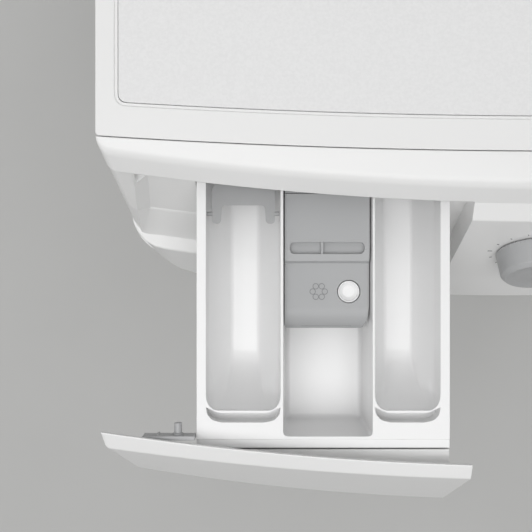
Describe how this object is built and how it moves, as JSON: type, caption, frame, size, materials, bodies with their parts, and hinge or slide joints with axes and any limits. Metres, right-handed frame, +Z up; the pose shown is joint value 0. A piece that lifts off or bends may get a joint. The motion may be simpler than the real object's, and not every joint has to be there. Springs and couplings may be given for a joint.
{
  "type": "front load washing machine",
  "caption": "Freestanding front-loading washing machine with worktop, bowed control panel, pull-out three-compartment dispenser drawer, hinged porthole door and turning drum.",
  "frame": {"origin": "on the floor, in the middle of the box that the machine takes with its dispenser drawer drawn out, as it is stored", "axes": "+Z up, -Y towards the front with the door, +X to the machine's right"},
  "size_m": [0.597, 0.7518, 0.847],
  "materials": {
    "white_panel": "smooth gloss enamel",
    "white_plastic": "smooth moulded, satin gloss",
    "worktop_board": "chipboard with a fine textured pale grey laminate",
    "fascia_plastic": "moulded, satin",
    "grey_plastic": "moulded, satin",
    "flap_plastic": "slightly clear moulded",
    "tub_plastic": "mineral filled, matt",
    "black_plastic": "moulded, matt",
    "display_black": "gloss black",
    "galvanised": "galvanised sheet",
    "drum_steel": "stainless sheet",
    "bright_steel": "turned steel",
    "cast_aluminium": "cast",
    "motor_metal": "coated stampings",
    "concrete": "cast concrete",
    "gasket_rubber": "soft moulded rubber",
    "belt_rubber": "ribbed rubber",
    "window_glass": "clear moulded glass",
    "door_white": "moulded, gloss"
  },
  "bodies": {
    "cabinet": {"worktop_frame": "white_plastic", "worktop_board": "worktop_board", "control_panel": "white_plastic", "display_lens": "display_black", "front_panel": "white_panel", "left_side_panel": "white_panel", "right_side_panel": "white_panel", "rear_panel": "galvanised", "rear_access_cover": "galvanised", "base_tray": "black_plastic", "dispenser_housing": "tub_plastic", "dispenser_cover": "tub_plastic", "inlet_valve": "tub_plastic", "fill_hose": "gasket_rubber", "door_lock": "black_plastic", "door_hinge": "bright_steel", "door_gasket": "gasket_rubber", "tub_front": "tub_plastic", "tub_rear": "tub_plastic", "front_bearing": "bright_steel", "rear_bearing": "bright_steel", "front_counterweight": "concrete", "top_counterweight": "concrete", "spring_left": "bright_steel", "spring_right": "bright_steel", "damper_left": "black_plastic", "damper_right": "black_plastic", "heater": "bright_steel", "motor": "motor_metal", "drive_belt": "belt_rubber", "drain_pump": "black_plastic", "drain_hose": "black_plastic", "cord_gland": "black_plastic"},
    "door": {"door_frame": "door_white", "door_glass": "window_glass", "door_inner_ring": "grey_plastic", "door_hinge_arm": "bright_steel"},
    "latch_hook": {"door_latch": "bright_steel"},
    "drum": {"drum_shell": "drum_steel", "drum_back": "drum_steel", "drum_shaft": "cast_aluminium", "drum_pulley": "cast_aluminium", "drum_lifter_1": "grey_plastic", "drum_lifter_2": "grey_plastic", "drum_lifter_3": "grey_plastic"},
    "motor_rotor": {"motor_pulley": "bright_steel"},
    "drawer": {"drawer_tray": "white_plastic", "drawer_fascia": "fascia_plastic", "drawer_bracket": "grey_plastic"},
    "softener_cap": {"softener_cover": "grey_plastic"},
    "flap": {"detergent_flap": "flap_plastic"},
    "knob": {"programme_knob": "grey_plastic"},
    "power_key": {"power_button": "grey_plastic"},
    "start_key": {"start_button": "grey_plastic"},
    "filter_hatch": {"filter_flap": "white_plastic"},
    "filter": {"pump_filter": "tub_plastic"},
    "foot_front_left_body": {"foot_front_left": "black_plastic"},
    "foot_rear_left_body": {"foot_rear_left": "black_plastic"},
    "foot_front_right_body": {"foot_front_right": "black_plastic"},
    "foot_rear_right_body": {"foot_rear_right": "black_plastic"}
  },
  "joints": [
    {"name": "door_swing", "type": "hinge", "parent": "cabinet", "child": "door", "pos_m": [-0.236, -0.20511, 0.395], "axis": [0, 0, -1], "range_deg": [0, 140]},
    {"name": "latch_hook_turn", "type": "hinge", "parent": "door", "child": "latch_hook", "pos_m": [0.196, -0.19711, 0.395], "axis": [0, 0, 1], "range_deg": [0, 7], "stiffness_Nm_per_rad": 0.4},
    {"name": "drum_spin", "type": "hinge", "parent": "cabinet", "child": "drum", "pos_m": [0, 0.09289, 0.395], "axis": [0, 1, 0], "continuous": true},
    {"name": "motor_spin", "type": "hinge", "parent": "cabinet", "child": "motor_rotor", "pos_m": [0.11997, 0.29289, 0.095], "axis": [0, 1, 0], "continuous": true},
    {"name": "drawer_slide", "type": "slide", "parent": "cabinet", "child": "drawer", "axis": [0, -1, 0], "range_m": [-0.17, 0]},
    {"name": "softener_cap_lift", "type": "slide", "parent": "drawer", "child": "softener_cap", "axis": [0, 0, 1], "range_m": [0, 0.006]},
    {"name": "flap_swing", "type": "hinge", "parent": "drawer", "child": "flap", "pos_m": [-0.2056, -0.16391, 0.806], "axis": [-1, 0, 0], "range_deg": [0, 88]},
    {"name": "knob_turn", "type": "hinge", "parent": "cabinet", "child": "knob", "pos_m": [0, -0.18861, 0.77525], "axis": [0, -0.9325, 0.3613], "continuous": true},
    {"name": "power_press", "type": "slide", "parent": "cabinet", "child": "power_key", "axis": [-0.1069, 0.9263, -0.3613], "range_m": [0, 0.0015], "stiffness_N_per_m": 400},
    {"name": "start_press", "type": "slide", "parent": "cabinet", "child": "start_key", "axis": [-0.1264, 0.9239, -0.3613], "range_m": [0, 0.0015], "stiffness_N_per_m": 400},
    {"name": "filter_hatch_swing", "type": "hinge", "parent": "cabinet", "child": "filter_hatch", "pos_m": [0.2, -0.19011, 0.0655], "axis": [1, 0, 0], "range_deg": [0, 90]},
    {"name": "filter_turn", "type": "hinge", "parent": "cabinet", "child": "filter", "pos_m": [0.2, -0.14711, 0.105], "axis": [0, 1, 0], "range_deg": [-180, 0]},
    {"name": "foot_front_left_turn", "type": "hinge", "parent": "cabinet", "child": "foot_front_left_body", "pos_m": [-0.2535, -0.13711, 0.01], "axis": [0, 0, 1], "continuous": true},
    {"name": "foot_rear_left_turn", "type": "hinge", "parent": "cabinet", "child": "foot_rear_left_body", "pos_m": [-0.2535, 0.30789, 0.01], "axis": [0, 0, 1], "continuous": true},
    {"name": "foot_front_right_turn", "type": "hinge", "parent": "cabinet", "child": "foot_front_right_body", "pos_m": [0.2535, -0.13711, 0.01], "axis": [0, 0, 1], "continuous": true},
    {"name": "foot_rear_right_turn", "type": "hinge", "parent": "cabinet", "child": "foot_rear_right_body", "pos_m": [0.2535, 0.30789, 0.01], "axis": [0, 0, 1], "continuous": true}
  ],
  "couplings": [
    {"joint": "motor_spin", "follows": "drum_spin", "ratio": 12.174}
  ]
}
